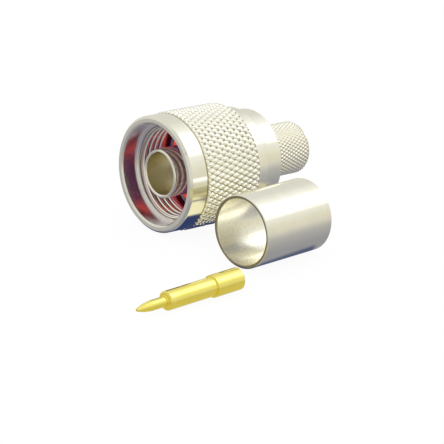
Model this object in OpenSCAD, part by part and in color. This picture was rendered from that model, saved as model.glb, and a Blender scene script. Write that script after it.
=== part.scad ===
// N type cable plug of the crimp kind, as it comes out of its bag: the plug with its turning
// coupling nut, and the loose crimp ferrule and centre pin lying beside it on a table.
// Millimetres. The plug's axis is the Y axis and its open, mating end looks along -Y.
// The origin is on that axis, in the rim of the outer contact, where two mated plugs meet.
// Distances called "station" run along the axis from that rim towards the cable.

/* [Coupling nut] */
// Length of the nut from its front rim to its rear edge
nut_l = 17.85; // [17:0.05:22]
// How far the nut's rim stands in front of the outer contact's rim
nut_lead = 1.2; // [0.6:0.1:2.5]
// Length of the smooth band behind the front rim
band_l = 3.6; // [2.5:0.1:5]
// Diameter of the smooth band
band_d = 19.7; // [18.6:0.1:20]
// Length of the knurled grip
grip_l = 11.25; // [8:0.25:12]
// Diameter over the tips of the grip's knurl
grip_d = 20.2; // [19.9:0.1:24]
// Diameter of the smooth hub behind the grip
hub_d = 18; // [17.4:0.1:19]
// Diameter of the recess in the nut's mouth
recess_d = 17.1; // [16.4:0.1:17.6]
// Depth of the recess in the nut's mouth
recess_l = 3.2; // [2:0.1:4]
// Minor diameter of the 5/8-24 thread
thread_minor_d = 14.9; // [14.6:0.05:15.2]
// Length of the threaded wall
thread_l = 4.3; // [3.2:0.1:6]
// Diameter of the relief behind the thread, where the snap ring turns
relief_d = 16.2; // [15.9:0.1:16.8]
// Thickness of the nut's inward rear lip
lip_l = 2.3; // [1.6:0.1:3]
// Chamfer on the rim's outer edge
rim_chamfer = 0.4; // [0.1:0.05:0.6]

/* [Knurls] */
// Width of one diamond round the grip
grip_pitch = 1.05; // [0.9:0.05:1.6]
// Length of one diamond along the grip
grip_diamond_l = 2.04; // [1.4:0.02:3]
// Height of the grip's diamonds
grip_depth = 0.42; // [0.2:0.02:0.6]
// Width of one diamond round the stem
stem_pitch = 0.69; // [0.6:0.01:1]
// Length of one diamond along the stem
stem_diamond_l = 1.11; // [0.9:0.01:1.6]
// Height of the stem's diamonds
stem_depth = 0.26; // [0.12:0.02:0.34]

/* [Body] */
// Diameter of the round flange
flange_d = 16.3; // [15:0.1:17.2]
// Thickness of the round flange
flange_l = 3.4; // [2.4:0.1:5]
// Length of the knurled stem that takes the cable's braid
stem_l = 9.95; // [8:0.05:14]
// Diameter over the tips of the stem's knurl
stem_d = 9.15; // [8.9:0.05:10.2]
// Bore for the cable's inner insulation
cable_bore_d = 7.3; // [6:0.05:7.6]
// Diameter of the hub that the nut turns on
journal_d = 12.6; // [12:0.1:13]
// Edge chamfer on the flange
body_chamfer = 0.35; // [0.1:0.05:0.4]

/* [Outer contact] */
// Outer diameter of the front tube
tube_d = 8.3; // [8.1:0.05:8.5]
// Inner diameter of the front tube
tube_bore_d = 7.1; // [6.8:0.05:7.3]
// Length of the front tube up to its thicker root
tube_l = 8; // [7:0.1:8.6]
// Diameter of the tube's thicker root, inside the gasket
root_d = 9; // [8.8:0.1:9.6]
// Length of the root up to the collar
root_l = 1.7; // [1.2:0.1:2.4]
// Diameter of the collar that the gasket lies on
collar_d = 14.6; // [13:0.1:14.8]
// Thickness of the collar
collar_l = 1.5; // [1:0.1:2]
// Diameter of the spigot behind the collar, held in the body
spigot_d = 9.6; // [9:0.1:10]
// Length of the spigot
spigot_l = 3; // [2:0.1:3.6]

/* [Inner pieces] */
// Thickness of the gasket
gasket_l = 1.5; // [1:0.1:1.6]
// Outer diameter of the gasket
gasket_d = 14.6; // [12:0.1:14.8]
// Thickness of the snap ring
ring_l = 0.8; // [0.5:0.05:1]
// Outer diameter of the snap ring
ring_d = 14.6; // [14:0.1:14.8]
// Depth of the groove that holds the snap ring
ring_groove = 0.6; // [0.3:0.05:0.8]
// Width of the snap ring's gap
ring_gap = 2.4; // [1:0.1:4]
// Station of the insulator's front face
insulator_front = 8; // [7:0.1:9]
// Diameter of the insulator's rear part, held behind the spigot
insulator_d = 8.6; // [8:0.1:8.8]
// Length of the insulator's rear part
insulator_rear_l = 2.6; // [1.5:0.1:4]

/* [Crimp ferrule] */
// Outer diameter of the ferrule
ferrule_d = 12.1; // [11.8:0.1:14]
// Bore of the ferrule
ferrule_bore_d = 10.9; // [10.6:0.1:11.2]
// Length of the ferrule
ferrule_l = 15; // [10:0.5:24]

/* [Centre pin] */
// Diameter of the contact tip
tip_d = 1.65; // [1.55:0.05:1.8]
// Length of the contact tip up to the shoulder, with its point
tip_l = 5.6; // [4:0.1:7]
// Length of the tip's pointed end
point_l = 2.7; // [1.5:0.1:3.4]
// Diameter of the point's blunt end
point_end_d = 0.5; // [0.2:0.05:0.7]
// Diameter of the shank
shank_d = 3.06; // [2.8:0.02:3.3]
// Length of the shank
shank_l = 9.4; // [7:0.1:12]
// Diameter of the barrel that takes the cable's centre wire
barrel_d = 3.6; // [3.4:0.05:4]
// Length of the barrel
barrel_l = 5.6; // [4:0.1:8]
// Bore of the barrel
cup_d = 2.4; // [1.6:0.05:2.8]
// Depth of the barrel's bore
cup_l = 4.8; // [3:0.1:5]

/* [Fits] */
// Gap all round between the nut and what it turns on
turn_gap = 0.05; // [0.02:0.01:0.1]
// End play of the nut on the body
end_play = 0.15; // [0.1:0.05:0.3]
// Gap all round a piece that is held in another
seat_gap = 0.03; // [0.02:0.01:0.05]

/* [Layout on the table] */
// Distance of the ferrule's front from the plug's axis
ferrule_x = 20.9; // [18:0.1:40]
// Station of the ferrule's front
ferrule_y = 0.15; // [-20:0.05:20]
// Turn of the ferrule away from the plug's axis
ferrule_turn = 4.5; // [-5:0.5:5]
// Distance of the pin's shoulder from the plug's axis
pin_x = 28.9; // [28.5:0.1:60]
// Station of the pin's shoulder
pin_y = -21.5; // [-40:0.5:-15]
// Turn of the pin away from the plug's axis
pin_turn = 2.2; // [-4:0.1:4]

/* [Hidden] */
$fn = 96;

nickel = [0.88, 0.87, 0.78];
gold = [0.94, 0.79, 0.24];
ptfe = [0.96, 0.96, 0.93];
silicone_red = [0.74, 0.10, 0.07];
spring_steel = [0.55, 0.54, 0.50];

// Stations of the faces, from the nut's rim to the end of the stem
nut_front = -nut_lead;
grip_start = nut_front + band_l;
grip_end = grip_start + grip_l;
nut_rear = nut_front + nut_l;
lip_front = nut_rear - lip_l;
shoulder = nut_front + recess_l;
thread_end = shoulder + thread_l;
flange_front = nut_rear + end_play;
flange_rear = flange_front + flange_l;
stem_rear = flange_rear + stem_l;

// Stations of the pieces inside the nut
collar_front = tube_l + root_l;
collar_rear = collar_front + collar_l;
spigot_rear = collar_rear + spigot_l;
insulator_rear = spigot_rear + insulator_rear_l;
gasket_front = collar_front - gasket_l;
ring_rear = lip_front - end_play;
ring_front = ring_rear - ring_l;

// Small edges that break every turned corner, and the sleeves of metal under the knurls
edge = 0.2;
knurl_seat = 0.2;
stem_nose_l = 0.6;
seat_l = 1;
drill_angle = 31;

// The point swells: halfway along it has this share of the tip's radius
point_swell = 0.78;

// Radii that two or more pieces share
journal_r = journal_d / 2;
spigot_r = spigot_d / 2;
root_r = root_d / 2;
tube_bore_r = tube_bore_d / 2;
insulator_r = insulator_d / 2;
shank_r = shank_d / 2;
barrel_r = barrel_d / 2;
groove_r = journal_r - ring_groove;
grip_core_r = grip_d / 2 - grip_depth - knurl_seat;
stem_core_r = stem_d / 2 - stem_depth - knurl_seat / 2;

// The plug, the ferrule and the pin all lie on one table, below the plug's axis
table_z = -grip_d / 2;
pin_tilt = asin((barrel_r - shank_r) / shank_l);

// Lays what is built upright along Z down along Y, its top towards the cable
module along_y() rotate([-90, 0, 0]) children();

// A turned piece: its profile is a list of [radius, station] corners
module turned(profile) rotate_extrude() polygon(profile);

// A diamond knurl is a grid of points round a cylinder. Every second point, as on a chess
// board, is the tip of a four-sided pyramid, and the points between are the crossings of the
// grooves. The ring is closed by two flat ends and a plain bore, which lies in the metal.
module diamond_ring(tip_d, depth, pitch, diamond_l, start, end, core_r) {
  columns = 2 * round(PI * tip_d / pitch);
  rows = max(2, round(2 * (end - start) / diamond_l));
  bore_r = core_r - knurl_seat / 2;
  function corner(r, i, z) = let (a = 90 + 360 * i / columns) [r * cos(a), r * sin(a), z];
  function grid(i, j) = j * columns + (i + columns) % columns;
  function bore(i, j) = (rows + 1 + j) * columns + i % columns;
  skin = [for (j = [0 : rows], i = [0 : columns - 1])
    corner(tip_d / 2 - (i + j) % 2 * depth, i, start + (end - start) * j / rows)];
  wall = [for (z = [start, end], i = [0 : columns - 1]) corner(bore_r, i, z)];
  upper = [for (j = [0 : rows - 1], i = [0 : columns - 1]) if ((i + j) % 2 == 0)
    each [[grid(i, j), grid(i - 1, j), grid(i, j + 1)], [grid(i, j), grid(i, j + 1), grid(i + 1, j)]]];
  lower = [for (j = [1 : rows], i = [0 : columns - 1]) if ((i + j) % 2 == 0)
    each [[grid(i, j), grid(i + 1, j), grid(i, j - 1)], [grid(i, j), grid(i, j - 1), grid(i - 1, j)]]];
  ends = [for (i = [0 : columns - 1]) each [
    [grid(i, 0), grid(i + 1, 0), bore(i + 1, 0), bore(i, 0)],
    [grid(i, rows), bore(i, 1), bore(i + 1, 1), grid(i + 1, rows)]]];
  inside = [for (i = [0 : columns - 1]) [bore(i + 1, 0), bore(i + 1, 1), bore(i, 1), bore(i, 0)]];
  polyhedron(concat(skin, wall), concat(upper, lower, ends, inside));
}

// The nut: a smooth band, the knurled grip and a plain hub, with the recess, the thread's
// wall, the relief and the inward lip that pulls on the snap ring
module coupling_nut() {
  band_r = band_d / 2;
  hub_r = hub_d / 2;
  recess_r = recess_d / 2;
  thread_r = thread_minor_d / 2;
  relief_r = relief_d / 2;
  lip_r = journal_r + turn_gap;
  color(nickel) along_y() {
    turned([
      [recess_r + edge, nut_front], [band_r - rim_chamfer, nut_front],
      [band_r, nut_front + rim_chamfer], [band_r, grip_start],
      [grip_core_r, grip_start], [grip_core_r, grip_end],
      [hub_r, grip_end], [hub_r, nut_rear - rim_chamfer], [hub_r - rim_chamfer, nut_rear],
      [lip_r, nut_rear], [lip_r, lip_front],
      [relief_r, lip_front], [relief_r, thread_end + relief_r - thread_r], [thread_r, thread_end],
      [thread_r, shoulder + edge], [thread_r + edge, shoulder],
      [recess_r, shoulder], [recess_r, nut_front + edge]]);
    diamond_ring(grip_d, grip_depth, grip_pitch, grip_diamond_l, grip_start, grip_end, grip_core_r);
  }
}

// The body: the journal that the nut turns on, with the snap ring's groove, then the round
// flange and the knurled stem, and inside them the seats of the spigot and the insulator
module body() {
  flange_r = flange_d / 2;
  cable_r = cable_bore_d / 2;
  spigot_seat_r = spigot_r + seat_gap;
  insulator_seat_r = insulator_r + seat_gap;
  nose_front = stem_rear - stem_nose_l;
  color(nickel) along_y() {
    turned([
      [spigot_seat_r, collar_rear], [journal_r - edge, collar_rear],
      [journal_r, collar_rear + edge], [journal_r, ring_front - seat_gap],
      [groove_r, ring_front - seat_gap], [groove_r, ring_rear + seat_gap],
      [journal_r, ring_rear + seat_gap], [journal_r, flange_front],
      [flange_r - body_chamfer, flange_front], [flange_r, flange_front + body_chamfer],
      [flange_r, flange_rear - body_chamfer], [flange_r - body_chamfer, flange_rear],
      [stem_core_r, flange_rear], [stem_core_r, stem_rear - edge],
      [stem_core_r - edge, stem_rear], [cable_r + edge, stem_rear],
      [cable_r, stem_rear - edge], [cable_r, insulator_rear],
      [insulator_seat_r, insulator_rear], [insulator_seat_r, spigot_rear],
      [spigot_seat_r, spigot_rear]]);
    diamond_ring(stem_d, stem_depth, stem_pitch, stem_diamond_l, flange_rear, nose_front, stem_core_r);
  }
}

// The outer contact: the front tube, its thicker root, the collar under the gasket and the
// spigot that holds it in the body
module outer_contact() {
  tube_r = tube_d / 2;
  collar_r = collar_d / 2;
  color(nickel) along_y() turned([
    [tube_bore_r + edge, 0], [tube_r - edge, 0], [tube_r, edge],
    [tube_r, tube_l], [root_r, tube_l], [root_r, collar_front],
    [collar_r - edge, collar_front], [collar_r, collar_front + edge],
    [collar_r, collar_rear], [spigot_r, collar_rear],
    [spigot_r, spigot_rear], [tube_bore_r, spigot_rear], [tube_bore_r, edge]]);
}

// The insulator: a white bead in the outer contact's bore, with a wider rear end caught
// between the spigot and the body, and a stepped hole that the centre pin is pushed into
module insulator() {
  hole_r = shank_r + seat_gap;
  barrel_hole_r = barrel_r + seat_gap;
  color(ptfe) along_y() turned([
    [hole_r, insulator_front], [tube_bore_r - seat_gap, insulator_front],
    [tube_bore_r - seat_gap, spigot_rear], [insulator_r, spigot_rear],
    [insulator_r, insulator_rear], [barrel_hole_r, insulator_rear],
    [barrel_hole_r, insulator_rear - seat_l], [hole_r, insulator_rear - seat_l]]);
}

// The gasket: a flat red ring round the root of the outer contact, against its collar
module gasket() {
  hole_r = root_r + seat_gap;
  color(silicone_red) along_y() turned([
    [hole_r, gasket_front], [gasket_d / 2 - edge, gasket_front],
    [gasket_d / 2, gasket_front + edge], [gasket_d / 2, collar_front], [hole_r, collar_front]]);
}

// The snap ring: a split spring ring in the body's groove, in front of the nut's lip
module snap_ring() {
  bore_r = groove_r + seat_gap;
  color(spring_steel) along_y() difference() {
    turned([[bore_r, ring_front], [ring_d / 2, ring_front], [ring_d / 2, ring_rear], [bore_r, ring_rear]]);
    translate([0, -ring_gap / 2, ring_front - ring_l]) cube([ring_d, ring_gap, 3 * ring_l]);
  }
}

// The ferrule: a plain tube that is crimped over the cable's braid on the stem
module crimp_ferrule() {
  outer_r = ferrule_d / 2;
  inner_r = ferrule_bore_d / 2;
  color(nickel) translate([ferrule_x, ferrule_y, table_z + outer_r])
    rotate([0, 0, ferrule_turn]) along_y() turned([
      [inner_r + edge, 0], [outer_r - edge, 0], [outer_r, edge],
      [outer_r, ferrule_l - edge], [outer_r - edge, ferrule_l],
      [inner_r + edge, ferrule_l], [inner_r, ferrule_l - edge], [inner_r, edge]]);
}

// The centre pin: a pointed contact tip, the shank and the hollow barrel for the cable's wire.
// It leans forward a little, on the front edges of its shank and of its barrel.
module centre_pin() {
  tip_r = tip_d / 2;
  point_end_r = point_end_d / 2;
  cup_r = cup_d / 2;
  barrel_rear = shank_l + barrel_l;
  cup_floor = barrel_rear - cup_l;
  color(gold) translate([pin_x, pin_y, table_z + shank_r * cos(pin_tilt)])
    rotate([0, 0, pin_turn]) rotate([pin_tilt, 0, 0]) along_y() turned([
      [0, -tip_l], [point_end_r, -tip_l],
      [point_swell * tip_r, point_l / 2 - tip_l], [tip_r, point_l - tip_l], [tip_r, 0],
      [shank_r - edge, 0], [shank_r, edge], [shank_r, shank_l],
      [barrel_r, shank_l], [barrel_r, barrel_rear - edge], [barrel_r - edge, barrel_rear],
      [cup_r + edge, barrel_rear], [cup_r, barrel_rear - edge], [cup_r, cup_floor],
      [0, cup_floor - cup_r * tan(drill_angle)]]);
}

coupling_nut();
body();
outer_contact();
insulator();
gasket();
snap_ring();
crimp_ferrule();
centre_pin();
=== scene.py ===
# %% [markdown]
# # A crimp plug for coaxial cable
#
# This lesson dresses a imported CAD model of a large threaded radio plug. On the table lie three
# loose things that belong together: the plug itself, whose knurled coupling nut turns on a
# plug body, the plain ferrule that is crimped over the cable's braid, and the gold centre pin.
# Nearly everything is a turned part, so nearly every piece here is a profile carried once
# round an axis. What makes them look real is what the lathe left: rounded corners, two diamond
# knurls, a thread, fine turning marks, and bright plating that mirrors its surroundings.

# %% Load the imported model
import math

import bpy
import numpy as np
from mathutils import Matrix, Vector


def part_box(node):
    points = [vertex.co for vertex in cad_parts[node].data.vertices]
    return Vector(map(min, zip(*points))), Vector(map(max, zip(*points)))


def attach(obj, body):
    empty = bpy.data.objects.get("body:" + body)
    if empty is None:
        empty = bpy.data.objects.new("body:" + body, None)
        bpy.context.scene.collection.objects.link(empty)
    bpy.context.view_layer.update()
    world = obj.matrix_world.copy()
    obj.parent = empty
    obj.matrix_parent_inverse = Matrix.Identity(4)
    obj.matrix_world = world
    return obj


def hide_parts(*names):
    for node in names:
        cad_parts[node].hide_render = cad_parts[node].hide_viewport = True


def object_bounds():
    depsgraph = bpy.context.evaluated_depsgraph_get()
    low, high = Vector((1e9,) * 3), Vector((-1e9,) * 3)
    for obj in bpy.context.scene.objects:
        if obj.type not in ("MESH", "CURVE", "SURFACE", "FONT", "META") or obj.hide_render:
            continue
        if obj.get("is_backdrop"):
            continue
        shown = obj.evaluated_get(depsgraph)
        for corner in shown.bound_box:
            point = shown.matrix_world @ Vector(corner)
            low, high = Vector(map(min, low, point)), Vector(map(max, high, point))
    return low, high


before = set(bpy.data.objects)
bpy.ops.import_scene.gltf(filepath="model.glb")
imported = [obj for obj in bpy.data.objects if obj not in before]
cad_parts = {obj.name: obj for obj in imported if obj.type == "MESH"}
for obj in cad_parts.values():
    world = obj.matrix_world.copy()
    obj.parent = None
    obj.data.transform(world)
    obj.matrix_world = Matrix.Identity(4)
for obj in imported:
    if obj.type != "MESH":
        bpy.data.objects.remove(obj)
cad_low, cad_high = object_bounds()

# %% [markdown]
# All sizes below are in millimetres, because that is how a turner reads a drawing. They are
# turned into metres once, where a mesh is made. The plug's axis is the Y axis, its open mating
# end looks along -Y, and a distance along the axis is called a station.

# %% Units
MM, MICRON = 0.001, 1e-6
TURN = 2 * math.pi


def box_mm(node):
    """Lowest and highest corner of a CAD node, in millimetres."""
    low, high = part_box(node)
    return np.array(low) / MM, np.array(high) / MM


table_z = cad_low.z / MM
print("the table's top is at z =", round(table_z, 3), "mm")

# %% [markdown]
# ## The camera
#
# A long lens from well back keeps the rings nearly as true ellipses, with hardly any
# perspective. The camera stands to the right of the plug's mouth, a little above it, and is
# rolled by three degrees. Its three axes are worked out from those angles and set as a
# matrix, which is exact and needs no target object.

# %% The camera
view_azimuth, view_height, view_roll = (math.radians(a) for a in (48.79, 18.95, 2.95))
camera_place = Vector((245.03, -200.22, 100.72)) * MM

back = Vector((math.sin(view_azimuth) * math.cos(view_height),
               -math.cos(view_azimuth) * math.cos(view_height), math.sin(view_height)))
level = Vector((math.cos(view_azimuth), math.sin(view_azimuth), 0))
upright = back.cross(level)
right = math.cos(view_roll) * level + math.sin(view_roll) * upright
up = math.cos(view_roll) * upright - math.sin(view_roll) * level

camera_data = bpy.data.cameras.new("camera")
camera_data.lens = 162.16
camera_data.sensor_width = 36
camera_data.clip_start, camera_data.clip_end = 0.01, 20
camera = bpy.data.objects.new("camera", camera_data)
axes = Matrix((right, up, back)).transposed().to_4x4()
camera.matrix_world = Matrix.Translation(camera_place) @ axes
scene = bpy.context.scene
scene.collection.objects.link(camera)
scene.camera = camera
print("the camera is", round(camera_place.length / MM), "mm from the contact's rim")

# %% [markdown]
# ## Small helpers for shader nodes
#
# A material is a tree of nodes. Writing each node, its settings and its links by hand fills
# pages, so one helper makes a node, sets its values and joins its inputs in one line. A value
# that is itself a socket is linked, and anything else is written on the input.

# %% A helper that makes and joins nodes
def add_node(tree, kind, inputs=None, **settings):
    """Makes a node. A value in inputs that is a socket is linked, any other is set."""
    made = tree.nodes.new("ShaderNode" + kind)
    for key, value in settings.items():
        setattr(made, key, value)
    for key, value in (inputs or {}).items():
        if isinstance(value, bpy.types.NodeSocket):
            tree.links.new(value, made.inputs[key])
        else:
            made.inputs[key].default_value = value
    return made


def math_node(tree, operation, first, second=0.0, clamp=False):
    """Does one step of arithmetic on sockets or numbers, and gives its result's socket."""
    made = add_node(tree, "Math", {0: first, 1: second}, operation=operation, use_clamp=clamp)
    return made.outputs[0]


def mix_colour(tree, amount, first, second):
    """Blends two colours by amount, 0 giving the first, and gives the blend's socket.

    A Mix node has sockets for numbers, vectors and colours side by side. Those for colours
    are inputs 6 and 7 and output 2.
    """
    inputs = {0: amount}
    for key, value in ((6, first), (7, second)):
        inputs[key] = value if isinstance(value, bpy.types.NodeSocket) else (*value, 1)
    return add_node(tree, "Mix", inputs, data_type="RGBA").outputs[2]


def spread(tree, value, low, high, to_low=0.0, to_high=1.0):
    """Stretches a value from low..high to to_low..to_high and stops it there."""
    inputs = {0: value, 1: low, 2: high, 3: to_low, 4: to_high}
    return add_node(tree, "MapRange", inputs).outputs[0]


def in_millimetres(tree, place):
    """A place in millimetres, from one in metres."""
    inputs = {0: place, "Scale": 1 / MM}
    return add_node(tree, "VectorMath", inputs, operation="SCALE").outputs[0]

# %% [markdown]
# ## The studio
#
# Bright metal has hardly any colour of its own: it shows the room. So the room is designed
# first. It is a white tent, brightest high up and a trace greyer straight overhead, a little
# warm near the horizon, and greyer on the left and in front, which models the sides of the
# cylinders. High behind the table a large soft source glows through the cloth, crossed by a
# dark bar of its frame. Only mirrors see these tones. The camera and the matt surfaces see
# plain white.

# %% The tent and its source
TENT = [  # height of the direction (its z), and the tent's tone there
    (0.00, (0.74, 0.70, 0.59)), (0.22, (0.79, 0.77, 0.67)), (0.40, (0.85, 0.84, 0.79)),
    (0.55, (0.93, 0.93, 0.90)), (0.72, (1.0, 1.0, 0.99)), (1.00, (0.90, 0.90, 0.89))]
LEFT_TONE, LEFT_SHARE, FRONT_TONE = (0.68, 0.67, 0.63), 0.75, (0.70, 0.69, 0.66)
BAR_LEAN, BAR_EDGE, BAR_CORE, BAR_DIMS_TO = 0.72, 0.035, 0.015, 0.45
SOURCE, CLOTH_GLOW, SOURCE_GLOW = Vector((0.28, 0.64, 0.72)).normalized(), 1.08, 2.3
world = bpy.data.worlds.new("studio")
scene.world = world
world.use_nodes = True
tent = world.node_tree
tent.nodes.clear()
direction = add_node(tent, "TexCoord").outputs["Generated"]
seen_in = add_node(tent, "SeparateXYZ", {0: direction}).outputs
ramp = add_node(tent, "ValToRGB", {0: seen_in["Z"]})
stops = ramp.color_ramp.elements
for count, (height, colour) in enumerate(TENT):
    stop = stops[count] if count < 2 else stops.new(height)
    stop.position, stop.color = height, (*colour, 1)
left = math_node(tent, "MULTIPLY", spread(tent, seen_in["X"], -0.15, -0.50), LEFT_SHARE)
tone = mix_colour(tent, left, ramp.outputs[0], LEFT_TONE)
front = spread(tent, seen_in["Y"], -0.35, -0.60)
tone = mix_colour(tent, front, tone, FRONT_TONE)
leaning = math_node(tent, "MULTIPLY", seen_in["Z"], BAR_LEAN)
aside = math_node(tent, "SUBTRACT", seen_in["X"], leaning)
bar = spread(tent, math_node(tent, "ABSOLUTE", aside), BAR_EDGE, BAR_CORE)
bar = math_node(tent, "MULTIPLY", bar, spread(tent, seen_in["Z"], 0.45, 0.55))
toward_source = add_node(tent, "VectorMath", {0: direction, 1: SOURCE},
                         operation="DOT_PRODUCT").outputs["Value"]
glow = spread(tent, toward_source, 0.93, 1.0, CLOTH_GLOW, SOURCE_GLOW)
strength = math_node(tent, "MULTIPLY", glow, spread(tent, bar, 0, 1, 1.0, BAR_DIMS_TO))
path = add_node(tent, "LightPath").outputs
white = add_node(tent, "Background", {"Color": (1, 1, 1, 1), "Strength": 1.0})
room = add_node(tent, "Background", {"Color": tone, "Strength": strength})
plain = math_node(tent, "MAXIMUM", path["Is Camera Ray"], path["Is Diffuse Ray"])
either = add_node(tent, "MixShader", {0: plain, 1: room.outputs[0], 2: white.outputs[0]})
add_node(tent, "OutputWorld", {"Surface": either.outputs[0]})

# %% [markdown]
# Two soft lamps light the matt surfaces, the red gasket above all, and give the floor a gentle
# direction of light. They are weak, because the tent already lights everything at about the
# level at which a colour renders as it is written. The plating doesn't mirror them: its
# highlights come from the tent, where they can be placed, and a lamp's image would burn out.

# %% The lamps
TABLE_MIDDLE = Vector((12, 2, -5)) * MM


def soft_lamp(name, place, width, height, power):
    """A rectangular lamp aimed at the middle of the table. Lengths in metres, power in watts."""
    data = bpy.data.lights.new(name, "AREA")
    data.shape = "RECTANGLE"
    data.size, data.size_y = width, height
    data.energy = power
    lamp = bpy.data.objects.new(name, data)
    lamp.location = place
    aim = TABLE_MIDDLE - lamp.location
    lamp.rotation_euler = aim.to_track_quat("-Z", "Y").to_euler()
    lamp.visible_glossy = False
    scene.collection.objects.link(lamp)
    print(f"{name}: radiance {power / (math.pi * width * height):.2f}")


soft_lamp("lamp_above", (0.02, 0.02, 0.45), 0.40, 0.40, 0.3)
soft_lamp("lamp_front", (0.10, -0.40, 0.06), 0.25, 0.12, 1.10)

# %% [markdown]
# The floor is a plain sheet. To the camera it is a white page that keeps a trace of the
# object's shadow. To the mirror-like plating it glows as a table with painted light and shade:
# a painted sheen, bright where it is seen at a grazing angle and grey where it is seen from
# above, painted deep blue shade under the plug and the ferrule, and painted light in the strip
# between the two. Seen by way of two mirrors, such as the ferrule in the nut's band, the painted
# shade under the plug is painted as warm light instead. These tones are set for the camera's
# own view. From behind, the hub and the flange mirror the blue as a band with hard edges.

# %% The floor
FLOOR_REACH, FLOOR_BELOW = 1.5, 0.01 * MM
floor_mesh = bpy.data.meshes.new("floor")
floor_z = cad_low.z - FLOOR_BELOW
corners = [(x * FLOOR_REACH, y * FLOOR_REACH, floor_z)
           for x, y in ((-1, -1), (1, -1), (1, 1), (-1, 1))]
floor_mesh.from_pydata(corners, [], [(0, 1, 2, 3)])
floor = bpy.data.objects.new("floor", floor_mesh)
scene.collection.objects.link(floor)
floor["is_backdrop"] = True

# Painted patches of light and shade on the floor, which only mirrors see.
PAINTED_FLOOR_SHADE_AND_LIGHT = [  # x from, x to, y from, y to in millimetres, softness, colour
    (19.0, 36.0, -32.0, -1.5, 2.5, (0.66, 0.60, 0.34)),
    (12.0, 19.0, 16.0, 25.0, 0.8, (0.70, 0.64, 0.46)),
    (9.2, 17.2, -3.0, 9.5, 0.5, (1.0, 0.93, 0.64)),
    (9.2, 15.5, 9.5, 22.5, 0.8, (0.50, 0.44, 0.27)),
    (17.0, 24.5, -0.5, 15.5, 0.6, (0.10, 0.12, 0.21)),
]
# Painted deep blue shade on the floor under the plug, and the painted warm light that replaces it
# when it is seen by way of two mirrors.
PAINTED_SHADE_UNDER_PLUG = (-12.0, 9.2, -1.0, 20.0, 0.4)
PAINTED_SHADE_SEEN_DIRECTLY, PAINTED_LIGHT_SEEN_BY_TWO_MIRRORS = (0.035, 0.055, 0.16), (0.80, 0.73, 0.50)
# A painted sheen on the floor for mirrors: grey from above, lighter at a slant, brightest at a
# grazing angle.
FROM_ABOVE, SLANTING, GRAZING = (0.34, 0.34, 0.39), (0.50, 0.49, 0.50), (0.80, 0.77, 0.70)
PAGE_SHARE = 0.94


def floor_patch(tree, spot, x_from, x_to, y_from, y_to, soft):
    """1 within a rectangle of the floor and 0 outside. It fades over soft on either side."""
    held = 1.0
    for value, low, high in ((spot["X"], x_from, x_to), (spot["Y"], y_from, y_to)):
        held = math_node(tree, "MULTIPLY", held, spread(tree, value, low - soft, low + soft))
        held = math_node(tree, "MULTIPLY", held, spread(tree, value, high + soft, high - soft))
    return held


paper = bpy.data.materials.new("paper")
paper.use_nodes = True
tree = paper.node_tree
tree.nodes.clear()
place = in_millimetres(tree, add_node(tree, "TexCoord").outputs["Object"])
spot = add_node(tree, "SeparateXYZ", {0: place}).outputs
# The painted sheen grows as the floor is seen more at a grazing angle.
grazing = add_node(tree, "LayerWeight", {"Blend": 0.5}).outputs["Facing"]
table = mix_colour(tree, spread(tree, grazing, 0.30, 0.70), FROM_ABOVE, SLANTING)
table = mix_colour(tree, spread(tree, grazing, 0.70, 0.96), table, GRAZING)
for *patch, colour in PAINTED_FLOOR_SHADE_AND_LIGHT:
    table = mix_colour(tree, floor_patch(tree, spot, *patch), table, colour)
path = add_node(tree, "LightPath").outputs
# Mirrors see the painted shade under the plug as deep blue, and by way of two mirrors as painted
# warm light.
mirrors = spread(tree, path["Glossy Depth"], 1.0, 2.0)
under = mix_colour(tree, mirrors, PAINTED_SHADE_SEEN_DIRECTLY, PAINTED_LIGHT_SEEN_BY_TWO_MIRRORS)
table = mix_colour(tree, floor_patch(tree, spot, *PAINTED_SHADE_UNDER_PLUG), table, under)
lit = add_node(tree, "BsdfDiffuse", {"Color": (0.92, 0.92, 0.92, 1)})
mirrored = add_node(tree, "Emission", {"Color": table, "Strength": 1.0})
page = add_node(tree, "Emission", {"Color": (1, 1, 1, 1), "Strength": 1.0})
for_camera = add_node(tree, "MixShader", {0: PAGE_SHARE, 1: lit.outputs[0], 2: page.outputs[0]})
to_metal = add_node(tree, "MixShader", {
    0: path["Is Glossy Ray"], 1: lit.outputs[0], 2: mirrored.outputs[0]})
to_all = add_node(tree, "MixShader", {
    0: path["Is Camera Ray"], 1: to_metal.outputs[0], 2: for_camera.outputs[0]})
add_node(tree, "OutputMaterial", {"Surface": to_all.outputs[0]})
floor_mesh.materials.append(paper)

# %% [markdown]
# Light that enters the nut bounces many times between plated walls before it comes out again.
# Blender stops after four mirror bounces unless it is told to go on, and the mouth would turn
# black.

# %% Enough bounces for the inside of the nut
scene.cycles.max_bounces = 16
scene.cycles.glossy_bounces = 14

# %% [markdown]
# ## Turned surfaces
#
# A turned part is a profile, a list of corners (radius, station), carried round the axis. Real
# corners are never sharp: the tool leaves a small radius, and it is this radius that catches
# the light as a bright line. So each corner has a third number, its rounding.

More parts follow.
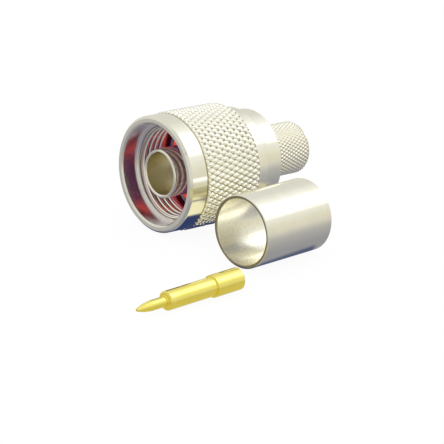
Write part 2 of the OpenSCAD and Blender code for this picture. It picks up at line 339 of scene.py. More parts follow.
# %% Rounding the corners of a profile
def rounded(corners, closed=True, steps=4, guard=0.06, share=0.42, spare=0.05):
    """Replaces each corner (radius, station, rounding) by an arc that touches both its sides.

    With h half the angle at the corner, the arc touches the sides at rounding / tan h from the
    corner, and its centre lies on the bisector at rounding / sin h. One guard point more on
    each side, a short way past the arc, keeps the shading of the straight stretch straight.
    An open profile keeps its first and last corner as they are. An arc takes no more than
    share of the shorter side, and its guard point leaves spare of that for the next corner.
    """
    given = np.array(corners, float)
    here, size = given[:, :2], given[:, 2]
    before, after = np.roll(here, 1, 0) - here, np.roll(here, -1, 0) - here
    far_before, far_after = np.linalg.norm(before, axis=1), np.linalg.norm(after, axis=1)
    before, after = before / far_before[:, None], after / far_after[:, None]
    half = np.arccos(np.clip((before * after).sum(1), -1, 1)) / 2
    room = share * np.minimum(far_before, far_after)
    touch = np.minimum(size / np.tan(half), room)
    size = touch * np.tan(half)
    bisector = before + after
    bisector /= np.linalg.norm(bisector, axis=1)[:, None] + 1e-12
    centre = here + bisector * (size / np.sin(half))[:, None]
    start = here + before * touch[:, None] - centre
    end = here + after * touch[:, None] - centre
    from_angle = np.arctan2(start[:, 1], start[:, 0])
    sweep = (np.arctan2(end[:, 1], end[:, 0]) - from_angle + math.pi) % TURN - math.pi
    angle = from_angle[:, None] + sweep[:, None] * np.linspace(0, 1, steps + 1)
    arc = centre[:, None] + size[:, None, None] * np.stack([np.cos(angle), np.sin(angle)], -1)
    past = np.minimum(guard, room - touch + spare * room)
    lead = (here + before * (touch + past)[:, None])[:, None]
    trail = (here + after * (touch + past)[:, None])[:, None]
    loops = np.concatenate([lead, arc, trail], 1)
    if closed:
        return loops.reshape(-1, 2)
    return np.concatenate([here[:1], loops[1:-1].reshape(-1, 2), here[-1:]])


square = [(1, 0, 0.1), (2, 0, 0.1), (2, 1, 0.1), (1, 1, 0.1)]
print("a rounded square has", len(rounded(square)), "points")

# %% [markdown]
# The profile becomes a grid of points: one row for each profile point, one column for each
# step round the axis. Faces are then only index arithmetic on that grid, done for all of them
# at once.

# %% From a grid of points to faces
def round_the_axis(radius, station, columns):
    """Carries rows of (radius, station) round the Y axis: x = r sin t, y = station, z = r cos t.

    t starts at the bottom, where the knurls have their first diamond.
    """
    t = math.pi + TURN * np.arange(columns) / columns
    radius, station = np.broadcast_arrays(radius, station)
    return np.stack([radius * np.sin(t), station + 0 * t, radius * np.cos(t)], -1)


def turned_rows(profile, columns):
    """Carries a profile of (radius, station) pairs round the axis."""
    return round_the_axis(profile[:, :1], profile[:, 1:], columns)


def strip_quads(index, closed_rows):
    """Four-cornered faces of an index grid whose columns close, and whose rows may."""
    this, along = (index, np.roll(index, -1, 0)) if closed_rows else (index[:-1], index[1:])
    return np.stack([this, np.roll(this, -1, 1), np.roll(along, -1, 1), along], -1).reshape(-1, 4)


def halves(quads, second=None):
    """Cuts quads along the diagonal from corner 0 to 2, or from 1 to 3 where second is true."""
    a, b, c, d = quads.T
    second = np.zeros(len(quads), bool) if second is None else second
    one = np.where(second, [a, b, d], [a, b, c]).T
    two = np.where(second, [b, c, d], [a, c, d]).T
    return np.concatenate([one, two])


def volume_of(points, triangles):
    """Volume inside a closed surface: the sum of a . (b x c) / 6 over its triangles."""
    a, b, c = points[triangles].transpose(1, 0, 2)
    return (a * np.cross(b, c)).sum() / 6

# %% Making a mesh object from arrays
def new_piece(name, points, triangles, quads=None):
    """Puts points in millimetres and faces into a smooth mesh and links its object."""
    quads = np.zeros((0, 4), int) if quads is None else quads
    corner = np.concatenate([triangles.ravel(), quads.ravel()])
    count = np.concatenate([np.full(len(triangles), 3), np.full(len(quads), 4)])
    mesh = bpy.data.meshes.new(name)
    mesh.vertices.add(len(points))
    mesh.vertices.foreach_set("co", (points * MM).ravel())
    mesh.loops.add(len(corner))
    mesh.loops.foreach_set("vertex_index", corner)
    mesh.polygons.add(len(count))
    mesh.polygons.foreach_set("loop_start", np.cumsum(count) - count)
    mesh.polygons.foreach_set("use_smooth", np.ones(len(count), bool))
    mesh.update(calc_edges=True)
    mesh.validate()
    piece = bpy.data.objects.new(name, mesh)
    scene.collection.objects.link(piece)
    every = np.concatenate([triangles, halves(quads)])
    print(f"{name}: {len(every)} triangles, {volume_of(points, every):.1f} cubic mm,",
          "box", np.round(points.min(0), 2), np.round(points.max(0), 2))
    return piece


def turned_piece(name, profile, columns=192, place=lambda p: p):
    """A turned part. A profile that starts and ends on the axis is closed there by two poles."""
    poles = profile[0, 0] == 0
    rows = profile[1:-1] if poles else profile
    points = turned_rows(rows, columns).reshape(-1, 3)
    index = np.arange(len(points)).reshape(len(rows), columns)
    quads = strip_quads(index, not poles)
    triangles = np.zeros((0, 3), int)
    if poles:
        first, last = len(points), len(points) + 1
        ends = [(0, profile[0, 1], 0), (0, profile[-1, 1], 0)]
        points = np.concatenate([points, ends])
        near, far = index[0], index[-1]
        triangles = np.concatenate([
            np.stack([np.full(columns, first), np.roll(near, -1), near], -1),
            np.stack([np.full(columns, last), far, np.roll(far, -1)], -1)])
    return new_piece(name, place(points), triangles, quads)

# %% [markdown]
# ## The diamond knurl
#
# A knurling tool rolls two sets of slanting V grooves into the metal, and what is left between
# them is a field of little pyramids. A bump texture could fake that, but the outline would stay
# smooth and the mesh itself would have no knurl at all. So the knurl is geometry.
# Its grid has a fixed number of points for each diamond, which puts every groove and every tip
# exactly on grid points.

# %% The knurl's height
TIP_LEAN, PIT, LEAN_SEED = 0.2, 0.56, 7


def knurl_height(around, along, land, diamonds):
    """Height of a diamond knurl, 0 in the grooves and 1 on the tips.

    around and along count diamonds. The two sets of grooves run where around + along and
    around - along are halfway between whole numbers. The height falls in a straight line with
    the distance from a tip, measured as (dp**4 + dq**4)**0.25, from its flat of half-width
    land down to PIT. So a groove is shallow between two tips and a pit where two grooves
    cross. A knurling wheel never presses two tips alike: every flat leans its own way.
    """
    p, q = around + along, around - along
    tip_p, tip_q = np.round(p).astype(int), np.round(q).astype(int)
    away = ((p - tip_p) ** 4 + (q - tip_q) ** 4) ** 0.25
    leans = np.random.default_rng(LEAN_SEED).uniform(-1, 1, (2, diamonds, diamonds))
    lean = leans[:, tip_p % diamonds, tip_q % diamonds]
    sunk = TIP_LEAN * (2 * land + (p - tip_p) * lean[0] + (q - tip_q) * lean[1])
    return np.clip((PIT - away) / (PIT - land), 0, 1) * (1 - sunk)


def knurled_rows(tip_r, depth, start, end, diamonds, half_rows, samples, land, rim_r):
    """A grid of points over a knurl: samples columns and rows for each diamond.

    land is the half-width of a tip's flat, in samples. At both ends the tips are cut back to
    the 45 degree cone that starts at radius rim_r, as the turner chamfers a knurl's edges.
    """
    columns, rows = diamonds * samples, half_rows * samples // 2 + 1
    around = np.arange(columns) / samples
    along = np.arange(rows)[:, None] / samples
    station = np.linspace(start, end, rows)[:, None]
    radius = tip_r - depth * (1 - knurl_height(around, along, land / samples, diamonds))
    from_end = np.minimum(station - start, end - station)
    radius = np.minimum(radius, rim_r + from_end)
    return round_the_axis(radius, station, columns)


# %% [markdown]
# The knurl needs many columns, the plain parts need few. Where they meet, one ring of triangles
# joins each plain column to several knurled ones. That keeps the mesh closed and small.

# %% Joining a coarse row to a fine one
def stitched(coarse, fine, fine_is_ahead):
    """Triangles between a row of n points and a row of n times k points, both closed.

    Of the k fine edges that face one coarse edge, the first half go to its first end and the
    rest to its second, and one triangle on the coarse edge fills the middle.
    """
    k = len(fine) // len(coarse)
    cell = np.stack([np.roll(fine, -e) for e in range(k + 1)], -1)[::k]
    here, there = coarse, np.roll(coarse, -1)
    half = k // 2
    fans = [np.stack([here if e < half else there, cell[:, e + 1], cell[:, e]], -1)
            for e in range(k)]
    fans.append(np.stack([here, there, cell[:, half]], -1))
    made = np.concatenate(fans)
    return made if fine_is_ahead else made[:, ::-1]


def knurled_piece(name, plain_rows, knurl_rows):
    """A part whose profile is knurled from the last plain row round to the first again."""
    plain, fine = plain_rows.shape[:2], knurl_rows.shape[:2]
    plain_index = np.arange(plain[0] * plain[1]).reshape(plain)
    fine_index = plain_index.size + np.arange(fine[0] * fine[1]).reshape(fine)
    points = np.concatenate([plain_rows.reshape(-1, 3), knurl_rows.reshape(-1, 3)])
    quads = strip_quads(fine_index, False)
    height = (points[quads][..., (0, 2)] ** 2).sum(-1)
    valley = height[:, 1] + height[:, 3] < height[:, 0] + height[:, 2]
    triangles = np.concatenate([
        halves(quads, valley),
        stitched(plain_index[-1], fine_index[0], True),
        stitched(plain_index[0], fine_index[-1], False)])
    return new_piece(name, points, triangles, strip_quads(plain_index, False))

# %% [markdown]
# ## The nut's thread
#
# The thread is a 60 degree V groove that winds up one pitch for each turn, with a small flat at
# its root and a wider one on its crest. On the grid it is only a radius that depends on the
# station minus the turn's share of the pitch, which makes it a true right-handed helix rather
# than a stack of rings.

# %% The thread's wall
PITCH = 25.4 / 24
MINOR_R, MAJOR_R = 7.45, 7.94
RECESS_R, RELIEF_R, MOUTH_R = 8.55, 8.1, MINOR_R + 0.45
ROOT_FLAT, FLANK_ANGLE = 0.08, math.radians(30)
NUT_LOW, NUT_HIGH = box_mm("coupling_nut")
NUT_FRONT, NUT_REAR = NUT_LOW[1], NUT_HIGH[1]
SHOULDER, THREAD_END = NUT_FRONT + 3.2, NUT_FRONT + 7.5
RELIEF_START = THREAD_END + RELIEF_R - MINOR_R


def threaded_rows(columns, rows):
    """Points of the thread's wall, from the relief forward to the shoulder.

    The groove's depth at a distance w from its middle is full within the root's flat and falls
    along the flank, whose width is the depth times tan 30. Both ends are bored out in a cone,
    at the shoulder from the radius MOUTH_R down and at the other end up to the relief.
    """
    turn = 0.5 + np.arange(columns) / columns
    station = np.linspace(RELIEF_START, SHOULDER, rows)[:, None]
    from_middle = abs((station / PITCH - turn) % 1 - 0.5) * PITCH
    deep = MAJOR_R - MINOR_R
    flank = deep * math.tan(FLANK_ANGLE)
    radius = MINOR_R + deep * np.clip((ROOT_FLAT + flank - from_middle) / flank, 0, 1)
    mouth_cone = MOUTH_R - (station - SHOULDER)
    relief_cone = MINOR_R + station - THREAD_END
    bored = np.maximum(mouth_cone, relief_cone)
    return round_the_axis(np.maximum(radius, bored), station, columns)


# %% The coupling nut
BAND_R, HUB_R, LIP_R, GRIP_R = 9.85, 9.0, 6.35, NUT_HIGH[0]
GRIP_RIM_R, REAR_FACE_R = BAND_R - 0.1, 9.5
GRIP_DEPTH, GRIP_START, GRIP_END = 0.42, NUT_FRONT + 3.6, NUT_FRONT + 14.85
LIP_FRONT = NUT_REAR - 2.3
COARSE, THREAD_ROWS = 240, 76
behind = rounded([
    (REAR_FACE_R, GRIP_END, 0), (HUB_R, GRIP_END, 0.12), (HUB_R, NUT_REAR - 0.35, 0.12),
    (HUB_R - 0.35, NUT_REAR, 0.12), (LIP_R, NUT_REAR, 0.08), (LIP_R, LIP_FRONT, 0.08),
    (RELIEF_R, LIP_FRONT, 0.15), (RELIEF_R, RELIEF_START + 0.02, 0)], closed=False)
before = rounded([
    (MOUTH_R + 0.02, SHOULDER, 0), (RECESS_R, SHOULDER, 0.12), (RECESS_R, NUT_FRONT + 0.25, 0.1),
    (RECESS_R + 0.25, NUT_FRONT, 0.1), (BAND_R - 0.4, NUT_FRONT, 0.12),
    (BAND_R, NUT_FRONT + 0.4, 0.12), (BAND_R, GRIP_START - 0.2, 0.03),
    (GRIP_RIM_R, GRIP_START - 0.05, 0.05), (GRIP_RIM_R, GRIP_START - 0.01, 0)], closed=False)
nut = knurled_piece(
    "nut_knurled",
    np.concatenate([turned_rows(behind, COARSE), threaded_rows(COARSE, THREAD_ROWS),
                    turned_rows(before, COARSE)]),
    knurled_rows(GRIP_R, GRIP_DEPTH, GRIP_START, GRIP_END, diamonds=60, half_rows=11,
                 samples=12, land=3, rim_r=GRIP_RIM_R))
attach(nut, "nut")
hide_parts("coupling_nut")

# %% [markdown]
# ## The body
#
# Behind the nut the body shows a smooth round flange and the stem, whose fine knurl bites into
# the cable's braid. Its front part is hidden in the nut: the journal that the nut turns on, and
# the groove with the snap ring that keeps the nut from coming off.

# %% The body
BODY_HIGH = box_mm("body")[1]
FLANGE_R, STEM_REAR = BODY_HIGH[:2]
FLANGE_FRONT, FLANGE_REAR = NUT_REAR + 0.15, NUT_REAR + 3.55
JOURNAL_R, GROOVE_R = 6.3, 5.7
RING_REAR = LIP_FRONT - 0.15
RING_FRONT = RING_REAR - 0.8
INSULATOR_R, SPIGOT_R, COLLAR_R = 4.3, 4.8, 7.3
COLLAR_FRONT, COLLAR_REAR, SPIGOT_REAR, INSULATOR_REAR = 9.7, 11.2, 14.2, 16.8
STEM_R, STEM_DEPTH, STEM_CORE_R, CABLE_R = 4.575, 0.26, 4.215, 3.65
STEM_RIM_R = STEM_R - 0.05
KNURL_END = STEM_REAR - 0.6
GAP = 0.03
body_profile = rounded([
    (STEM_CORE_R, KNURL_END, 0), (STEM_CORE_R, STEM_REAR - 0.2, 0.1),
    (STEM_CORE_R - 0.2, STEM_REAR, 0.1), (CABLE_R + 0.2, STEM_REAR, 0.08),
    (CABLE_R, STEM_REAR - 0.2, 0.08), (CABLE_R, INSULATOR_REAR, 0.05),
    (INSULATOR_R + GAP, INSULATOR_REAR, 0.05), (INSULATOR_R + GAP, SPIGOT_REAR, 0.05),
    (SPIGOT_R + GAP, SPIGOT_REAR, 0.05), (SPIGOT_R + GAP, COLLAR_REAR, 0.05),
    (JOURNAL_R - 0.2, COLLAR_REAR, 0.05), (JOURNAL_R, COLLAR_REAR + 0.2, 0.05),
    (JOURNAL_R, RING_FRONT - GAP, 0.05), (GROOVE_R, RING_FRONT - GAP, 0.05),
    (GROOVE_R, RING_REAR + GAP, 0.05), (JOURNAL_R, RING_REAR + GAP, 0.05),
    (JOURNAL_R, FLANGE_FRONT, 0.05), (FLANGE_R - 0.3, FLANGE_FRONT, 0.15),
    (FLANGE_R, FLANGE_FRONT + 0.3, 0.15), (FLANGE_R, FLANGE_REAR - 0.3, 0.15),
    (FLANGE_R - 0.3, FLANGE_REAR, 0.15), (STEM_RIM_R, FLANGE_REAR, 0)], closed=False)
# One more row on the flange's rear face, close to the stem, keeps that face's shading flat.
body_profile = np.insert(body_profile, -1, (STEM_R + 0.15, FLANGE_REAR), axis=0)
body = knurled_piece(
    "body_knurled", turned_rows(body_profile, columns=168),
    knurled_rows(STEM_R, STEM_DEPTH, FLANGE_REAR + 0.01, KNURL_END, diamonds=42, half_rows=17,
                 samples=8, land=1, rim_r=STEM_RIM_R))
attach(body, "plug")
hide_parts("body")

# %% [markdown]
# ## The outer contact, the gasket and the insulator
#
# In the nut's mouth stands a plain tube, the outer contact, with rounded lips, since it has to
# slide into its partner. Round its root lies a soft red gasket, and deep in its bore sits the
# white insulator with the hole for the centre pin. All three are plain profiles.

# %% The outer contact
TUBE_R, TUBE_BORE_R, ROOT_R, ROOT_FRONT = 4.15, 3.55, 4.5, 8.0
contact = turned_piece("contact_tube", rounded([
    (TUBE_BORE_R + 0.2, 0, 0.1), (TUBE_R - 0.2, 0, 0.1), (TUBE_R, 0.2, 0.1),
    (TUBE_R, ROOT_FRONT, 0.08), (ROOT_R, ROOT_FRONT, 0.08), (ROOT_R, COLLAR_FRONT, 0.05),
    (COLLAR_R - 0.2, COLLAR_FRONT, 0.08), (COLLAR_R, COLLAR_FRONT + 0.2, 0.08),
    (COLLAR_R, COLLAR_REAR, 0.05), (SPIGOT_R, COLLAR_REAR, 0.05),
    (SPIGOT_R, SPIGOT_REAR, 0.05), (TUBE_BORE_R, SPIGOT_REAR, 0.05), (TUBE_BORE_R, 0.2, 0.1)]))
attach(contact, "plug")
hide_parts("outer_contact")

# %% The gasket
GASKET_R, GASKET_FRONT = COLLAR_R, 8.2
gasket = turned_piece("gasket_ring", rounded([
    (ROOT_R + GAP, GASKET_FRONT, 0.25), (GASKET_R, GASKET_FRONT, 0.4),
    (GASKET_R, COLLAR_FRONT, 0.3), (ROOT_R + GAP, COLLAR_FRONT, 0.2)], steps=6), columns=144)
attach(gasket, "plug")
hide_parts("gasket")

# %% The insulator
HOLE_R, BARREL_HOLE_R, INSULATOR_FRONT = 1.56, 1.83, 8.0
BARREL_STOP = INSULATOR_REAR - 1
insulator = turned_piece("insulator_bead", rounded([
    (HOLE_R, INSULATOR_FRONT, 0.12), (TUBE_BORE_R - GAP, INSULATOR_FRONT, 0.1),
    (TUBE_BORE_R - GAP, SPIGOT_REAR, 0.05), (INSULATOR_R, SPIGOT_REAR, 0.08),
    (INSULATOR_R, INSULATOR_REAR, 0.1), (BARREL_HOLE_R, INSULATOR_REAR, 0.08),
    (BARREL_HOLE_R, BARREL_STOP, 0.05), (HOLE_R, BARREL_STOP, 0.05)]), columns=144)
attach(insulator, "plug")
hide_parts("insulator")

# %% [markdown]
# ## The loose ferrule and the centre pin
#
# The ferrule is a thin tube that lies on its side, turned a little away from the plug. The pin
# lies before it and leans on the front edges of its shank and of its barrel. Both are made on
# the Y axis like every turned part, and their points are then turned and moved to their place,
# so the objects themselves stay at the origin.

# %% Placing a loose piece
def laid(place, turn, tilt=0.0):
    """Turns points by tilt about X, then by turn about Z, in degrees, and moves them to place."""
    a, b = math.radians(turn), math.radians(tilt)
    about_z = np.array([[math.cos(a), -math.sin(a), 0], [math.sin(a), math.cos(a), 0], [0, 0, 1]])
    about_x = np.array([[1, 0, 0], [0, math.cos(b), -math.sin(b)], [0, math.sin(b), math.cos(b)]])
    both = about_z @ about_x
    return lambda points: points @ both.T + np.array(place)


# %% The ferrule
FERRULE_R, FERRULE_BORE_R, FERRULE_L = 6.05, 5.45, 15.0
FERRULE_PLACE, FERRULE_TURN = (20.9, 0.15, table_z + FERRULE_R), 4.5
ferrule = turned_piece("ferrule_tube", rounded([
    (FERRULE_BORE_R + 0.15, 0, 0.08), (FERRULE_R - 0.15, 0, 0.1), (FERRULE_R, 0.15, 0.1),
    (FERRULE_R, FERRULE_L - 0.2, 0.1), (FERRULE_R - 0.2, FERRULE_L, 0.1),
    (FERRULE_BORE_R + 0.2, FERRULE_L, 0.08), (FERRULE_BORE_R, FERRULE_L - 0.2, 0.08),
    (FERRULE_BORE_R, 0.15, 0.08)]), columns=240, place=laid(FERRULE_PLACE, FERRULE_TURN))
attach(ferrule, "plug")
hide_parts("crimp_ferrule")

# %% The centre pin
TIP_R, SHANK_R, BARREL_R, CUP_R = 0.825, 1.53, 1.8, 1.2
TIP_L, POINT_L, SHANK_L, BARREL_REAR = 5.6, 2.7, 9.4, 15.0
CUP_FLOOR, DRILL_ANGLE = BARREL_REAR - 4.8, math.radians(31)
PIN_TILT = math.degrees(math.asin((BARREL_R - SHANK_R) / SHANK_L))
PIN_PLACE, PIN_TURN = (28.9, -21.5, table_z + SHANK_R * math.cos(math.radians(PIN_TILT))), 2.2
pin = turned_piece("pin_gold", rounded([
    (0, -TIP_L, 0), (0.25, -TIP_L, 0.2), (0.78 * TIP_R, POINT_L / 2 - TIP_L, 0.8),
    (TIP_R, POINT_L - TIP_L, 0.15), (TIP_R, 0, 0.1),
    (SHANK_R - 0.2, 0, 0.12), (SHANK_R, 0.2, 0.12), (SHANK_R, SHANK_L, 0.05),
    (BARREL_R, SHANK_L, 0.08), (BARREL_R, BARREL_REAR - 0.2, 0.12),
    (BARREL_R - 0.2, BARREL_REAR, 0.1), (CUP_R + 0.2, BARREL_REAR, 0.08),
    (CUP_R, BARREL_REAR - 0.2, 0.08), (CUP_R, CUP_FLOOR, 0.05),
    (0, CUP_FLOOR - CUP_R * math.tan(DRILL_ANGLE), 0)], closed=False),
    columns=144, place=laid(PIN_PLACE, PIN_TURN, PIN_TILT))
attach(pin, "plug")
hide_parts("centre_pin")

# %% [markdown]
# ## Effects that several materials share
#
# A node group is a little machine with named inputs and outputs, built once and placed in each
# material with its own numbers. Here are three: the rings that a cutting tool leaves, the soft
# clouds of handling on plated metal, and a zone between two radii and two stations, which lays
# painted shade or a painted highlight, for example in the grooves of a knurl and inside a bore.

# %% A helper that starts a group
def new_group(name, inputs, outputs):
    """Starts a shader node group. Gives its tree, and the sockets that lead in and out."""
    group = bpy.data.node_groups.new(name, "ShaderNodeTree")
    for label, kind, value in inputs:
        made = group.interface.new_socket(
            name=label, in_out="INPUT", socket_type="NodeSocket" + kind)
        if value is not None:
            made.default_value = value
    for label, kind in outputs:
        group.interface.new_socket(name=label, in_out="OUTPUT", socket_type="NodeSocket" + kind)
    entry = group.nodes.new("NodeGroupInput")
    leave = group.nodes.new("NodeGroupOutput")
    return group, entry.outputs, leave.inputs


def from_axis(tree, place):
    """The distance of a place from the Y axis, and its station on it."""
    parts = add_node(tree, "SeparateXYZ", {0: place}).outputs
    squares = math_node(tree, "ADD", math_node(tree, "MULTIPLY", parts[0], parts[0]),
                        math_node(tree, "MULTIPLY", parts[2], parts[2]))
    return math_node(tree, "SQRT", squares), parts[1]

# %% Turning marks
FACE_SHARE = 0.83
turning_marks, given, put = new_group(
    "turning_marks",
    [("Place", "Vector", None), ("Rings per mm", "Float", 6.0), ("Roughening", "Float", 0.5)],
    [("Height", "Float"), ("Mask", "Float")])
# A ring's place is its station plus a share of its radius, so end faces get rings as well.
where = in_millimetres(turning_marks, given["Place"])
out_from, station = from_axis(turning_marks, where)
across = math_node(turning_marks, "MULTIPLY", out_from, FACE_SHARE)
ring = math_node(turning_marks, "ADD", station, across)
ring = math_node(turning_marks, "MULTIPLY", ring, given["Rings per mm"])
marks = add_node(turning_marks, "TexNoise", {"W": ring, "Scale": 1.0, "Detail": 3.0,
                 "Roughness": given["Roughening"]}, noise_dimensions="1D").outputs[0]
turning_marks.links.new(marks, put["Height"])
turning_marks.links.new(spread(turning_marks, marks, 0.35, 0.65), put["Mask"])

# %% Handling clouds
SPECKS_PER_CLOUD = 14.0
handling, given, put = new_group(
    "handling", [("Place", "Vector", None), ("Size mm", "Float", 4.0)],
    [("Clouds", "Float"), ("Specks", "Float")])
where = in_millimetres(handling, given["Place"])
often = math_node(handling, "DIVIDE", 1.0, given["Size mm"])
clouds = add_node(handling, "TexNoise", {
    "Vector": where, "Scale": often, "Detail": 4.0, "Roughness": 0.6}).outputs[0]
finer = math_node(handling, "MULTIPLY", often, SPECKS_PER_CLOUD)
specks = add_node(handling, "TexNoise", {
    "Vector": where, "Scale": finer, "Detail": 2.0, "Roughness": 0.7}).outputs[0]
handling.links.new(spread(handling, clouds, 0.35, 0.68), put["Clouds"])
handling.links.new(spread(handling, specks, 0.54, 0.70), put["Specks"])

# %% A zone of a turned part
# The zone's mask lays painted shade or a painted highlight on a band of a turned part.
zone, given, put = new_group(
    "turned_zone",
    [("Place", "Vector", None), ("Inner radius", "Float", 0.0), ("Outer radius", "Float", 1.0),
     ("Start", "Float", 0.0), ("End", "Float", 1.0), ("Softness", "Float", 0.1)],
    [("Mask", "Float")])
out_from, station = from_axis(zone, in_millimetres(zone, given["Place"]))
mask = 1.0
for value, low, high in ((out_from, "Inner radius", "Outer radius"), (station, "Start", "End")):
    for more, less in ((value, given[low]), (given[high], value)):
        step = math_node(zone, "DIVIDE", math_node(zone, "SUBTRACT", more, less), given["Softness"])
        mask = math_node(zone, "MULTIPLY", mask, math_node(zone, "ADD", step, 0.5, clamp=True))
zone.links.new(mask, put["Mask"])
print("groups:", [g.name for g in bpy.data.node_groups])

# %% [markdown]
# ## Bright nickel
#
# Nickel plating over turned brass is a mirror with a warm, creamy cast. It is fully metallic,
# its base colour is the tint of its reflections, and nearly all its character is in the
# roughness: a little duller in clouds where it was handled, and faint rings from the tool. Some
# zones have painted light and shade in their tone: painted dark shade in the knurl's pits and a
# bright painted highlight on its tips, brown painted shade in the thread's grooves, and a bluish
# painted shade on walls inside the nut. The four nickel finishes here differ only in numbers, so
# one function makes them all.

# %% A function for plated, turned metal
def group_node(tree, group, inputs):
    """Places a group in a material, and gives its outputs."""
    return add_node(tree, "Group", inputs, node_tree=group).outputs


def new_material(name, place=(0, 0, 0), turn=0.0, tilt=0.0):
    """An empty material, its Principled shader, and Object coordinates laid on the part's axis."""
    material = bpy.data.materials.new(name)
    material.use_nodes = True
    tree = material.node_tree
    shader = tree.nodes["Principled BSDF"]
    where = add_node(tree, "TexCoord").outputs["Object"]
    if any(place):
        lie = {"Vector": where, "Location": tuple(v * MM for v in place),
               "Rotation": (math.radians(tilt), 0, math.radians(turn))}
        where = add_node(tree, "Mapping", lie, vector_type="TEXTURE").outputs[0]
    return material, tree, shader, where


CLOUD_MM, CLOUD_SHARE, RING_SHARE = 3.5, 0.6, 0.4
SPECK_TONE, SPECK_SHARE = (0.55, 0.50, 0.42), 0.5


def plated(name, bright, dull, polish, marks, zones=(), specks=0.0, **lie):
    """Plated metal: two tones, the roughness from polished to handled, and turning marks.

    polish is (smoothest, roughest). marks is (rings per mm, bump in micrometres). Each zone is
    (inner radius, outer radius, start, end, softness, tone, added roughness), and its tone is
    painted shade or a painted highlight. specks is the roughness that small specks add
    everywhere, and in the first zone they are also darker.
    """
    material, tree, shader, where = new_material(name, **lie)
    handled = group_node(tree, handling, {"Place": where, "Size mm": CLOUD_MM})
    rings = group_node(tree, turning_marks, {"Place": where, "Rings per mm": marks[0]})
    cloudy = math_node(tree, "MULTIPLY", handled["Clouds"], CLOUD_SHARE)
    ringed = math_node(tree, "MULTIPLY", rings["Mask"], RING_SHARE)
    worn = math_node(tree, "ADD", cloudy, ringed)
    colour = mix_colour(tree, worn, bright, dull)
    rough = spread(tree, worn, 0.0, 1.0, *polish)
    masks = []
    # Each zone lays its painted shade or painted highlight over the plating's tone.
    for inner, outer, start, end, softness, tone, rougher in zones:
        held = group_node(tree, zone, {
            "Place": where, "Inner radius": inner, "Outer radius": outer,
            "Start": start, "End": end, "Softness": softness})["Mask"]
        colour = mix_colour(tree, held, colour, tone)
        rough = math_node(tree, "ADD", rough, math_node(tree, "MULTIPLY", held, rougher))
        masks.append(held)
    if specks:
        grainy = math_node(tree, "MULTIPLY", handled["Specks"], specks)
        rough = math_node(tree, "ADD", rough, grainy)
        spotted = math_node(tree, "MULTIPLY", handled["Specks"], masks[0])
        darker = math_node(tree, "MULTIPLY", spotted, SPECK_SHARE)
        colour = mix_colour(tree, darker, colour, SPECK_TONE)
    tree.links.new(colour, shader.inputs["Base Color"])
    tree.links.new(rough, shader.inputs["Roughness"])
    shader.inputs["Metallic"].default_value = 1.0
    bump = add_node(tree, "Bump", {
        "Height": rings["Height"], "Distance": marks[1] * MICRON, "Strength": 1.0})
    tree.links.new(bump.outputs[0], shader.inputs["Normal"])
    return material

# %% The nickel finishes
CREAM, DULL_CREAM = (0.90, 0.89, 0.79), (0.84, 0.83, 0.72)
nut_nickel = plated("nickel_nut", CREAM, DULL_CREAM, (0.08, 0.16), (5.0, 0.4), zones=[
    # painted shade in the knurl's pits, a painted highlight on its tips,
    # and painted shade on the chamfer in front of it
    (9.0, 9.75, GRIP_START, GRIP_END, 0.10, (0.13, 0.11, 0.06), 0.05),
    (9.92, 10.3, GRIP_START, GRIP_END, 0.08, (0.98, 0.97, 0.88), 0.0),
    (9.0, 10.2, GRIP_START - 0.22, GRIP_START + 0.10, 0.08, (0.50, 0.44, 0.28), 0.10),
    # a bluish painted shade on the relief behind the thread, painted shade in the thread's
    # grooves, and a painted highlight on its crests
    (7.7, 8.4, THREAD_END, 16.0, 0.4, (0.66, 0.62, 0.84), 0.05),
    (7.62, 8.2, SHOULDER + 0.3, THREAD_END, 0.08, (0.55, 0.47, 0.42), 0.10),
    (7.3, 7.57, SHOULDER, THREAD_END, 0.05, (1.0, 0.99, 0.94), 0.0),
    # a bluish painted shade on the recess's wall, and a dark line of painted shade where the
    # thread begins in its floor
    (8.3, 8.75, NUT_FRONT + 0.3, SHOULDER - 0.1, 0.1, (0.83, 0.79, 0.88), 0.12),
    (7.80, 7.98, SHOULDER - 0.1, SHOULDER + 0.15, 0.04, (0.30, 0.27, 0.25), 0.10)])
body_nickel = plated("nickel_body", CREAM, DULL_CREAM, (0.10, 0.18), (5.0, 0.5), zones=[
    # painted shade in the grooves of the stem's knurl
    (4.0, 4.4, FLANGE_REAR, KNURL_END, 0.2, (0.78, 0.74, 0.60), 0.06)])
contact_nickel = plated("nickel_contact", CREAM, DULL_CREAM, (0.08, 0.18), (4.0, 0.4), zones=[
    # painted shade inside the bore, darker and browner, and a bluish painted shade on the flank
    # within the nut
    (0.0, TUBE_BORE_R + 0.03, 0.1, 20.0, 0.04, (0.71, 0.64, 0.42), 0.22),
    (3.9, 4.4, 2.8, 8.2, 0.4, (0.44, 0.40, 0.84), 0.30)])
ferrule_nickel = plated(
    "nickel_ferrule", CREAM, DULL_CREAM, (0.13, 0.22), (3.0, 0.8), specks=0.10, zones=[
        # the bore, and painted shade on the rim of its mouth
        (5.0, FERRULE_BORE_R + 0.05, 0.1, 16.0, 0.1, (0.94, 0.92, 0.80), 0.05),
        (5.0, 5.90, -0.2, 0.12, 0.06, (0.32, 0.28, 0.19), 0.10)],
    place=FERRULE_PLACE, turn=FERRULE_TURN)
for piece, finish in ((nut, nut_nickel), (body, body_nickel), (contact, contact_nickel),
                      (ferrule, ferrule_nickel)):
    piece.data.materials.append(finish)

# %% [markdown]
# Gold plating is the same recipe with a saturated yellow, and spring steel with a duller grey.

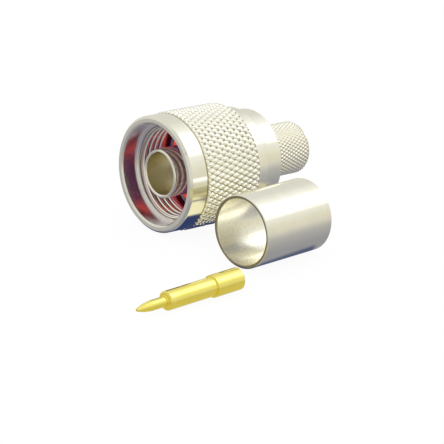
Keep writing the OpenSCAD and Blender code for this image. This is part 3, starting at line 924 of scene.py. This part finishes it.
# %% Gold and spring steel
pin_gold = plated("gold_pin", (0.97, 0.88, 0.26), (0.92, 0.78, 0.17), (0.07, 0.14), (6.0, 0.4),
                  place=PIN_PLACE, turn=PIN_TURN, tilt=PIN_TILT)
pin.data.materials.append(pin_gold)
ring_steel = plated(
    "spring_steel", (0.58, 0.57, 0.53), (0.48, 0.47, 0.43), (0.28, 0.40), (8.0, 2.0))
snap_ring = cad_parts["snap_ring"]
snap_ring.data.materials.clear()
snap_ring.data.materials.append(ring_steel)

# %% [markdown]
# ## Silicone and fluoroplastic
#
# The gasket is matte moulded silicone, with a faint mottling and a skin that is slightly rough.
# The insulator is turned from a white plastic that light enters a little way, so it has a soft
# look and fine rings on its face.

# %% The soft red and the white
red, tree, shader, where = new_material("silicone_red")
handled = group_node(tree, handling, {"Place": where, "Size mm": 1.5})
colour = mix_colour(tree, handled["Clouds"], (0.88, 0.10, 0.07), (0.76, 0.08, 0.06))
tree.links.new(colour, shader.inputs["Base Color"])
tree.links.new(spread(tree, handled["Specks"], 0, 1, 0.42, 0.6), shader.inputs["Roughness"])
bump = add_node(tree, "Bump", {"Height": handled["Specks"], "Distance": 6 * MICRON})
tree.links.new(bump.outputs[0], shader.inputs["Normal"])
gasket.data.materials.append(red)

ptfe, tree, shader, where = new_material("ptfe_white")
rings = group_node(tree, turning_marks, {"Place": where, "Rings per mm": 6.0})
colour = mix_colour(tree, rings["Mask"], (0.93, 0.93, 0.90), (0.88, 0.88, 0.84))
tree.links.new(colour, shader.inputs["Base Color"])
tree.links.new(spread(tree, rings["Height"], 0.3, 0.7, 0.30, 0.42), shader.inputs["Roughness"])
bump = add_node(tree, "Bump", {"Height": rings["Height"], "Distance": 3 * MICRON})
tree.links.new(bump.outputs[0], shader.inputs["Normal"])
insulator.data.materials.append(ptfe)
print("materials:", [m.name for m in bpy.data.materials])

# %% [markdown]
# ## The last measure
#
# The dressed part should fill the same box as the CAD model, and its box is measured against that
# one.

# %% Measure and finish
scene.view_settings.view_transform = "Standard"
low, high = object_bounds()
sides = zip((*low, *high), (*cad_low, *cad_high))
print("box differs by mm:", [round((a - b) / MM, 3) for a, b in sides])
